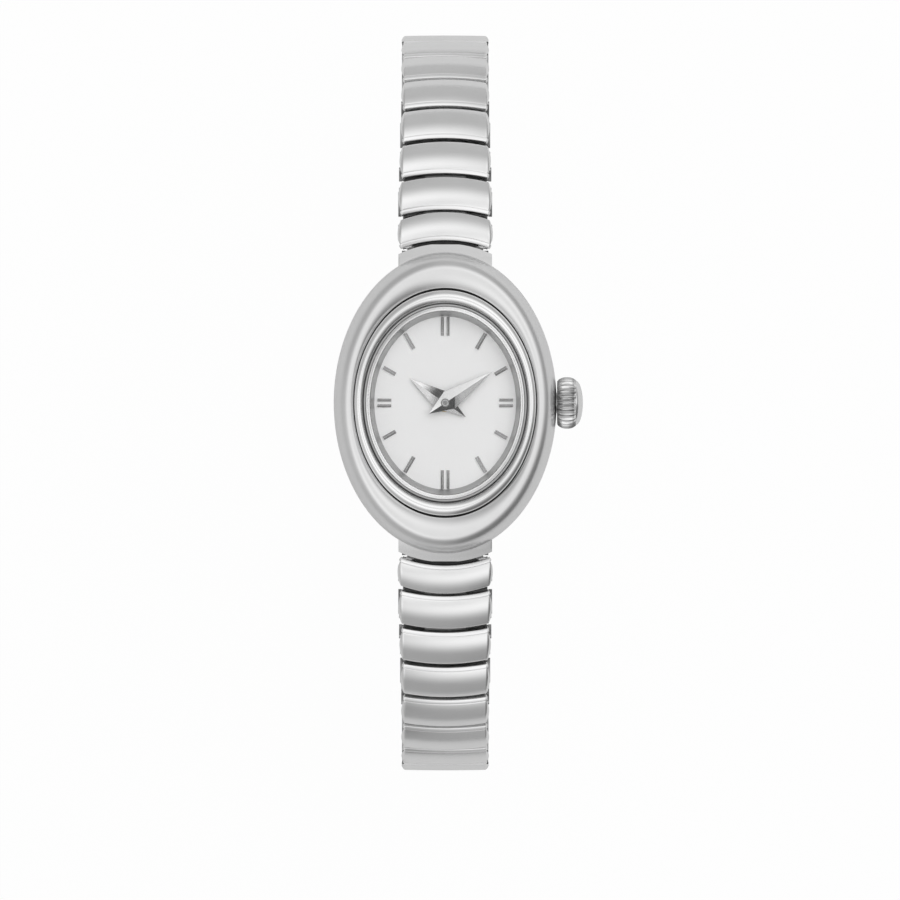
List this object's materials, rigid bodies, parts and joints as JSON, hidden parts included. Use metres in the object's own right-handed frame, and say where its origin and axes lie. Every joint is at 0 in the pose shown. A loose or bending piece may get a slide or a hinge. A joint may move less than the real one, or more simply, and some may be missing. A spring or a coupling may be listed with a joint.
{
  "type": "oval bracelet watch",
  "caption": "Small oval dress watch: domed case, bar-marked dial, two faceted hands, fluted crown and a stretch bracelet of bowed links closed in a loop.",
  "frame": {"origin": "centre of the case back's flat outer face, on the axis of the hands", "axes": "+Z out through the dial, +Y to 12 o'clock, +X to the crown at 3 o'clock"},
  "size_m": [0.0208, 0.0622, 0.0334],
  "materials": {
    "polished_steel": "polished stainless steel",
    "satin_steel": "satin stainless steel",
    "black_rubber": "matt nitrile rubber",
    "crystal_glass": "clear domed mineral glass",
    "grey_gasket": "dark grey nylon",
    "satin_ring": "satin grey metal",
    "white_dial": "silver white sunray lacquer",
    "polished_bars": "polished facets",
    "polished_hands": "polished facets",
    "hardened_steel": "bright turned steel",
    "brass_wheels": "turned brass",
    "movement_brass": "nickelled brass",
    "cell_steel": "pressed steel can",
    "copper_winding": "varnished copper wire",
    "green_board": "lacquered board",
    "bracelet_steel": "polished stainless steel"
  },
  "bodies": {
    "root": {"case": "polished_steel", "case_back": "satin_steel", "back_gasket": "black_rubber", "bezel_ring": "polished_steel", "crystal": "crystal_glass", "crystal_gasket": "grey_gasket", "flange_ring": "satin_ring", "dial": "white_dial", "hour_markers": "polished_bars", "main_plate": "movement_brass", "battery": "cell_steel", "motor_coil": "copper_winding", "circuit_board": "green_board", "spring_bars": "hardened_steel"},
    "minute_work": {"minute_hand": "polished_hands", "cannon_pinion": "hardened_steel"},
    "hour_work": {"hour_hand": "polished_hands", "hour_wheel": "brass_wheels"},
    "minute_wheel": {"minute_wheel": "brass_wheels"},
    "crown_seal": {"crown_gasket": "black_rubber"},
    "crown": {"crown": "polished_steel", "winding_stem": "hardened_steel"},
    "link_12_01": {"link_12_01": "bracelet_steel"},
    "link_12_02": {"link_12_02": "bracelet_steel"},
    "link_12_03": {"link_12_03": "bracelet_steel"},
    "link_12_04": {"link_12_04": "bracelet_steel"},
    "link_12_05": {"link_12_05": "bracelet_steel"},
    "link_12_06": {"link_12_06": "bracelet_steel"},
    "link_12_07": {"link_12_07": "bracelet_steel"},
    "link_12_08": {"link_12_08": "bracelet_steel"},
    "link_12_09": {"link_12_09": "bracelet_steel"},
    "link_12_10": {"link_12_10": "bracelet_steel"},
    "link_12_11": {"link_12_11": "bracelet_steel"},
    "link_12_12": {"link_12_12": "bracelet_steel"},
    "link_12_13": {"link_12_13": "bracelet_steel"},
    "link_12_14": {"link_12_14": "bracelet_steel"},
    "link_12_15": {"link_12_15": "bracelet_steel"},
    "link_12_16": {"link_12_16": "bracelet_steel"},
    "link_12_17": {"link_12_17": "bracelet_steel"},
    "link_12_18": {"link_12_18": "bracelet_steel"},
    "link_12_19": {"link_12_19": "bracelet_steel"},
    "link_6_01": {"link_6_01": "bracelet_steel"},
    "link_6_02": {"link_6_02": "bracelet_steel"},
    "link_6_03": {"link_6_03": "bracelet_steel"},
    "link_6_04": {"link_6_04": "bracelet_steel"},
    "link_6_05": {"link_6_05": "bracelet_steel"},
    "link_6_06": {"link_6_06": "bracelet_steel"},
    "link_6_07": {"link_6_07": "bracelet_steel"},
    "link_6_08": {"link_6_08": "bracelet_steel"},
    "link_6_09": {"link_6_09": "bracelet_steel"},
    "link_6_10": {"link_6_10": "bracelet_steel"},
    "link_6_11": {"link_6_11": "bracelet_steel"},
    "link_6_12": {"link_6_12": "bracelet_steel"},
    "link_6_13": {"link_6_13": "bracelet_steel"},
    "link_6_14": {"link_6_14": "bracelet_steel"},
    "link_6_15": {"link_6_15": "bracelet_steel"},
    "link_6_16": {"link_6_16": "bracelet_steel"},
    "link_6_17": {"link_6_17": "bracelet_steel"},
    "link_6_18": {"link_6_18": "bracelet_steel"},
    "link_6_19": {"link_6_19": "bracelet_steel"}
  },
  "joints": [
    {"name": "minute_hand_turn", "type": "hinge", "parent": "root", "child": "minute_work", "pos_m": [0, 0, 0.00465], "axis": [0, 0, -1], "continuous": true},
    {"name": "hour_hand_turn", "type": "hinge", "parent": "root", "child": "hour_work", "pos_m": [0, 0, 0.00425], "axis": [0, 0, -1], "continuous": true},
    {"name": "minute_wheel_turn", "type": "hinge", "parent": "root", "child": "minute_wheel", "pos_m": [-0.0011, 0.00191, 0.00292], "axis": [0, 0, -1], "continuous": true},
    {"name": "crown_pull", "type": "slide", "parent": "root", "child": "crown_seal", "axis": [1, 0, 0], "range_m": [0, 0.0007]},
    {"name": "crown_turn", "type": "hinge", "parent": "crown_seal", "child": "crown", "pos_m": [0.00942, 0, 0.0025], "axis": [1, 0, 0], "continuous": true},
    {"name": "bracelet_flex", "type": "hinge", "parent": "root", "child": "link_12_01", "pos_m": [0, 0.01235, 0.00175], "axis": [-1, 0, 0], "range_deg": [-6.1, 10.2], "stiffness_Nm_per_rad": 0.028, "springref_deg": -1.23},
    {"name": "bracelet_stretch", "type": "slide", "parent": "link_12_01", "child": "link_12_02", "axis": [0, 0.9416, -0.3366], "range_m": [0, 0.001], "stiffness_N_per_m": 4000, "springref_m": -0.0005},
    {"name": "link_12_03_hinge", "type": "hinge", "parent": "link_12_02", "child": "link_12_03", "pos_m": [0, 0.01947, 0.00023], "axis": [-1, 0, 0], "range_deg": [-3.54, 2.13], "stiffness_Nm_per_rad": 0.049, "springref_deg": -1.25},
    {"name": "link_12_04_slide", "type": "slide", "parent": "link_12_03", "child": "link_12_04", "axis": [0, 0.8415, -0.5402], "range_m": [0, 0.00097755]},
    {"name": "link_12_05_hinge", "type": "hinge", "parent": "link_12_04", "child": "link_12_05", "pos_m": [0, 0.02507, -0.00318], "axis": [-1, 0, 0], "range_deg": [-3.61, 2.18], "stiffness_Nm_per_rad": 0.066, "springref_deg": -1.25},
    {"name": "link_12_06_slide", "type": "slide", "parent": "link_12_05", "child": "link_12_06", "axis": [0, 0.5911, -0.8066], "range_m": [0, 0.00091623]},
    {"name": "link_12_07_hinge", "type": "hinge", "parent": "link_12_06", "child": "link_12_07", "pos_m": [0, 0.0292, -0.00835], "axis": [-1, 0, 0], "range_deg": [-3.43, 2.07], "stiffness_Nm_per_rad": 0.079, "springref_deg": -1.25},
    {"name": "link_12_08_slide", "type": "slide", "parent": "link_12_07", "child": "link_12_08", "axis": [0, 0.1318, -0.9913], "range_m": [0, 0.0008039]},
    {"name": "link_12_09_hinge", "type": "hinge", "parent": "link_12_08", "child": "link_12_09", "pos_m": [0, 0.03042, -0.01489], "axis": [-1, 0, 0], "range_deg": [-3.11, 1.88], "stiffness_Nm_per_rad": 0.084, "springref_deg": -1.24},
    {"name": "link_12_10_slide", "type": "slide", "parent": "link_12_09", "child": "link_12_10", "axis": [0, -0.5324, -0.8465], "range_m": [0, 0.00064148]},
    {"name": "link_12_11_hinge", "type": "hinge", "parent": "link_12_10", "child": "link_12_11", "pos_m": [0, 0.02742, -0.02083], "axis": [-1, 0, 0], "range_deg": [-2.69, 1.63], "stiffness_Nm_per_rad": 0.076, "springref_deg": -1.24},
    {"name": "link_12_12_slide", "type": "slide", "parent": "link_12_11", "child": "link_12_12", "axis": [0, -0.8988, -0.4383], "range_m": [0, 0.0005519]},
    {"name": "link_12_13_hinge", "type": "hinge", "parent": "link_12_12", "child": "link_12_13", "pos_m": [0, 0.02168, -0.02411], "axis": [-1, 0, 0], "range_deg": [-1.57, 0.96], "stiffness_Nm_per_rad": 0.055, "springref_deg": -1.25},
    {"name": "link_12_14_slide", "type": "slide", "parent": "link_12_13", "child": "link_12_14", "axis": [0, -0.9843, -0.1765], "range_m": [0, 0.00053096]},
    {"name": "link_12_15_hinge", "type": "hinge", "parent": "link_12_14", "child": "link_12_15", "pos_m": [0, 0.01529, -0.02546], "axis": [-1, 0, 0], "range_deg": [-0.29, 0.452], "stiffness_Nm_per_rad": 0.029, "springref_deg": -1.25},
    {"name": "link_12_16_slide", "type": "slide", "parent": "link_12_15", "child": "link_12_16", "axis": [0, -0.9979, -0.0651], "range_m": [0, 0.00052765]},
    {"name": "link_12_17_hinge", "type": "hinge", "parent": "link_12_16", "child": "link_12_17", "pos_m": [0, 0.00883, -0.02596], "axis": [-1, 0, 0], "range_deg": [-1.63, 2.7], "stiffness_Nm_per_rad": 0.0074, "springref_deg": -1.25},
    {"name": "link_12_18_slide", "type": "slide", "parent": "link_12_17", "child": "link_12_18", "axis": [0, -0.9997, -0.0233], "range_m": [0, 0.00052715]},
    {"name": "link_12_19_hinge", "type": "hinge", "parent": "link_12_18", "child": "link_12_19", "pos_m": [0, 0.00238, -0.02614], "axis": [-1, 0, 0], "range_deg": [-2.68, 4.44], "stiffness_Nm_per_rad": 0.00046, "springref_deg": -1.25},
    {"name": "link_6_01_hinge", "type": "hinge", "parent": "root", "child": "link_6_01", "pos_m": [0, -0.01235, 0.00175], "axis": [1, 0, 0], "range_deg": [-6.1, 10.2], "stiffness_Nm_per_rad": 0.028, "springref_deg": -1.23},
    {"name": "link_6_02_slide", "type": "slide", "parent": "link_6_01", "child": "link_6_02", "axis": [0, -0.9416, -0.3366], "range_m": [0, 0.001]},
    {"name": "link_6_03_hinge", "type": "hinge", "parent": "link_6_02", "child": "link_6_03", "pos_m": [0, -0.01947, 0.00023], "axis": [1, 0, 0], "range_deg": [-3.54, 2.13], "stiffness_Nm_per_rad": 0.049, "springref_deg": -1.25},
    {"name": "link_6_04_slide", "type": "slide", "parent": "link_6_03", "child": "link_6_04", "axis": [0, -0.8415, -0.5402], "range_m": [0, 0.00097755]},
    {"name": "link_6_05_hinge", "type": "hinge", "parent": "link_6_04", "child": "link_6_05", "pos_m": [0, -0.02507, -0.00318], "axis": [1, 0, 0], "range_deg": [-3.61, 2.18], "stiffness_Nm_per_rad": 0.067, "springref_deg": -1.24},
    {"name": "link_6_06_slide", "type": "slide", "parent": "link_6_05", "child": "link_6_06", "axis": [0, -0.5911, -0.8066], "range_m": [0, 0.00091623]},
    {"name": "link_6_07_hinge", "type": "hinge", "parent": "link_6_06", "child": "link_6_07", "pos_m": [0, -0.0292, -0.00835], "axis": [1, 0, 0], "range_deg": [-3.43, 2.07], "stiffness_Nm_per_rad": 0.08, "springref_deg": -1.24},
    {"name": "link_6_08_slide", "type": "slide", "parent": "link_6_07", "child": "link_6_08", "axis": [0, -0.1318, -0.9913], "range_m": [0, 0.0008039]},
    {"name": "link_6_09_hinge", "type": "hinge", "parent": "link_6_08", "child": "link_6_09", "pos_m": [0, -0.03042, -0.01489], "axis": [1, 0, 0], "range_deg": [-3.11, 1.88], "stiffness_Nm_per_rad": 0.084, "springref_deg": -1.25},
    {"name": "link_6_10_slide", "type": "slide", "parent": "link_6_09", "child": "link_6_10", "axis": [0, 0.5324, -0.8465], "range_m": [0, 0.00064148]},
    {"name": "link_6_11_hinge", "type": "hinge", "parent": "link_6_10", "child": "link_6_11", "pos_m": [0, -0.02742, -0.02083], "axis": [1, 0, 0], "range_deg": [-2.69, 1.63], "stiffness_Nm_per_rad": 0.076, "springref_deg": -1.25},
    {"name": "link_6_12_slide", "type": "slide", "parent": "link_6_11", "child": "link_6_12", "axis": [0, 0.8988, -0.4383], "range_m": [0, 0.0005519]},
    {"name": "link_6_13_hinge", "type": "hinge", "parent": "link_6_12", "child": "link_6_13", "pos_m": [0, -0.02168, -0.02411], "axis": [1, 0, 0], "range_deg": [-1.57, 0.96], "stiffness_Nm_per_rad": 0.056, "springref_deg": -1.24},
    {"name": "link_6_14_slide", "type": "slide", "parent": "link_6_13", "child": "link_6_14", "axis": [0, 0.9843, -0.1765], "range_m": [0, 0.00053096]},
    {"name": "link_6_15_hinge", "type": "hinge", "parent": "link_6_14", "child": "link_6_15", "pos_m": [0, -0.01529, -0.02546], "axis": [1, 0, 0], "range_deg": [-0.29, 0.452], "stiffness_Nm_per_rad": 0.03, "springref_deg": -1.24},
    {"name": "link_6_16_slide", "type": "slide", "parent": "link_6_15", "child": "link_6_16", "axis": [0, 0.9979, -0.0651], "range_m": [0, 0.00052765]},
    {"name": "link_6_17_hinge", "type": "hinge", "parent": "link_6_16", "child": "link_6_17", "pos_m": [0, -0.00883, -0.02596], "axis": [1, 0, 0], "range_deg": [-1.63, 2.7], "stiffness_Nm_per_rad": 0.0076, "springref_deg": -1.24},
    {"name": "link_6_18_slide", "type": "slide", "parent": "link_6_17", "child": "link_6_18", "axis": [0, 0.9997, -0.0233], "range_m": [0, 0.00052715]},
    {"name": "link_6_19_hinge", "type": "hinge", "parent": "link_6_18", "child": "link_6_19", "pos_m": [0, -0.00238, -0.02614], "axis": [1, 0, 0], "range_deg": [-2.68, 4.44], "stiffness_Nm_per_rad": 0.00027, "springref_deg": -1.23}
  ],
  "couplings": [
    {"joint": "hour_hand_turn", "follows": "minute_hand_turn", "ratio": 0.083333},
    {"joint": "minute_wheel_turn", "follows": "minute_hand_turn", "ratio": -0.33333},
    {"joint": "link_12_03_hinge", "follows": "bracelet_flex", "ratio": -0.3417},
    {"joint": "link_12_04_slide", "follows": "bracelet_stretch", "ratio": 0.9756},
    {"joint": "link_12_05_hinge", "follows": "bracelet_flex", "ratio": -0.349},
    {"joint": "link_12_06_slide", "follows": "bracelet_stretch", "ratio": 0.9144},
    {"joint": "link_12_07_hinge", "follows": "bracelet_flex", "ratio": -0.3312},
    {"joint": "link_12_08_slide", "follows": "bracelet_stretch", "ratio": 0.8023},
    {"joint": "link_12_09_hinge", "follows": "bracelet_flex", "ratio": -0.3002},
    {"joint": "link_12_10_slide", "follows": "bracelet_stretch", "ratio": 0.6402},
    {"joint": "link_12_11_hinge", "follows": "bracelet_flex", "ratio": -0.2586},
    {"joint": "link_12_12_slide", "follows": "bracelet_stretch", "ratio": 0.5508},
    {"joint": "link_12_13_hinge", "follows": "bracelet_flex", "ratio": -0.149},
    {"joint": "link_12_14_slide", "follows": "bracelet_stretch", "ratio": 0.5299},
    {"joint": "link_12_15_hinge", "follows": "bracelet_flex", "ratio": 0.0394},
    {"joint": "link_12_16_slide", "follows": "bracelet_stretch", "ratio": 0.5266},
    {"joint": "link_12_17_hinge", "follows": "bracelet_flex", "ratio": 0.2595},
    {"joint": "link_12_18_slide", "follows": "bracelet_stretch", "ratio": 0.5261},
    {"joint": "link_12_19_hinge", "follows": "bracelet_flex", "ratio": 0.4308},
    {"joint": "link_6_01_hinge", "follows": "bracelet_flex", "ratio": 1},
    {"joint": "link_6_02_slide", "follows": "bracelet_stretch", "ratio": 1},
    {"joint": "link_6_03_hinge", "follows": "bracelet_flex", "ratio": -0.3417},
    {"joint": "link_6_04_slide", "follows": "bracelet_stretch", "ratio": 0.9756},
    {"joint": "link_6_05_hinge", "follows": "bracelet_flex", "ratio": -0.349},
    {"joint": "link_6_06_slide", "follows": "bracelet_stretch", "ratio": 0.9144},
    {"joint": "link_6_07_hinge", "follows": "bracelet_flex", "ratio": -0.3312},
    {"joint": "link_6_08_slide", "follows": "bracelet_stretch", "ratio": 0.8023},
    {"joint": "link_6_09_hinge", "follows": "bracelet_flex", "ratio": -0.3002},
    {"joint": "link_6_10_slide", "follows": "bracelet_stretch", "ratio": 0.6402},
    {"joint": "link_6_11_hinge", "follows": "bracelet_flex", "ratio": -0.2586},
    {"joint": "link_6_12_slide", "follows": "bracelet_stretch", "ratio": 0.5508},
    {"joint": "link_6_13_hinge", "follows": "bracelet_flex", "ratio": -0.149},
    {"joint": "link_6_14_slide", "follows": "bracelet_stretch", "ratio": 0.5299},
    {"joint": "link_6_15_hinge", "follows": "bracelet_flex", "ratio": 0.0394},
    {"joint": "link_6_16_slide", "follows": "bracelet_stretch", "ratio": 0.5266},
    {"joint": "link_6_17_hinge", "follows": "bracelet_flex", "ratio": 0.2595},
    {"joint": "link_6_18_slide", "follows": "bracelet_stretch", "ratio": 0.5261},
    {"joint": "link_6_19_hinge", "follows": "bracelet_flex", "ratio": 0.4308}
  ]
}
